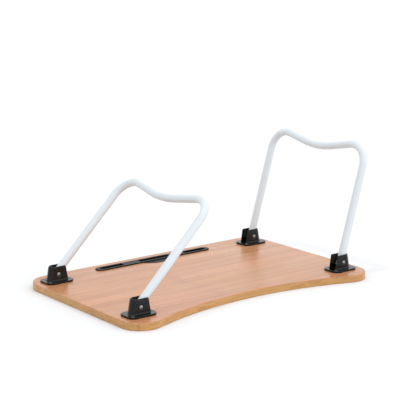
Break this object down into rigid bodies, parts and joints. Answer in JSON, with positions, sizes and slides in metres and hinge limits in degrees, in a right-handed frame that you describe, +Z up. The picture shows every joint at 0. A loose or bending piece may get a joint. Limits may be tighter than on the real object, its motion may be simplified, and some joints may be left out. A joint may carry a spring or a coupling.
{
  "type": "folding lap table",
  "caption": "Folding lap table lying upside down: rounded board with a belly cut-out and a tablet slot, and U-shaped tube legs on hinge brackets",
  "frame": {"origin": "centre of the tabletop face that the table lies on, at the middle of the board's length and depth", "axes": "+X along the board's length towards the opened leg, +Y towards the tablet slot, +Z up out of the board's underside, towards the legs' feet"},
  "size_m": [0.635, 0.4, 0.2738],
  "materials": {
    "laminate": "semi-gloss wood-grain laminate on particle board",
    "edge_band": "semi-gloss golden tan edging strip",
    "black_plastic": "satin moulded plastic",
    "white_coat": "smooth white powder coat on steel tube",
    "rivet_metal": "dull zinc plate",
    "screw_metal": "dull zinc plate",
    "grey_plastic": "moulded plastic"
  },
  "bodies": {
    "board": {"board_panel": "laminate", "edge_band": "edge_band", "tablet_slot_insert": "black_plastic", "hinge_bracket_left_front": "black_plastic", "hinge_bracket_left_back": "black_plastic", "hinge_bracket_right_front": "black_plastic", "hinge_bracket_right_back": "black_plastic", "pivot_rivet_left_front": "rivet_metal", "pivot_rivet_left_back": "rivet_metal", "pivot_rivet_right_front": "rivet_metal", "pivot_rivet_right_back": "rivet_metal", "rivet_washer_left_front": "rivet_metal", "rivet_washer_left_back": "rivet_metal", "rivet_washer_right_front": "rivet_metal", "rivet_washer_right_back": "rivet_metal", "bracket_screws_left_front": "screw_metal", "bracket_screws_left_back": "screw_metal", "bracket_screws_right_front": "screw_metal", "bracket_screws_right_back": "screw_metal"},
    "left_leg": {"leg_tube_left": "white_coat", "tube_plug_left_front": "grey_plastic", "tube_plug_left_back": "grey_plastic"},
    "right_leg": {"leg_tube_right": "white_coat", "tube_plug_right_front": "grey_plastic", "tube_plug_right_back": "grey_plastic"}
  },
  "joints": [
    {"name": "left_leg_fold", "type": "hinge", "parent": "board", "child": "left_leg", "pos_m": [-0.2555, 0, 0.032], "axis": [0, 1, 0], "range_deg": [-62.5, 44.5]},
    {"name": "right_leg_fold", "type": "hinge", "parent": "board", "child": "right_leg", "pos_m": [0.2555, 0, 0.032], "axis": [0, -1, 0], "range_deg": [0, 107]}
  ]
}
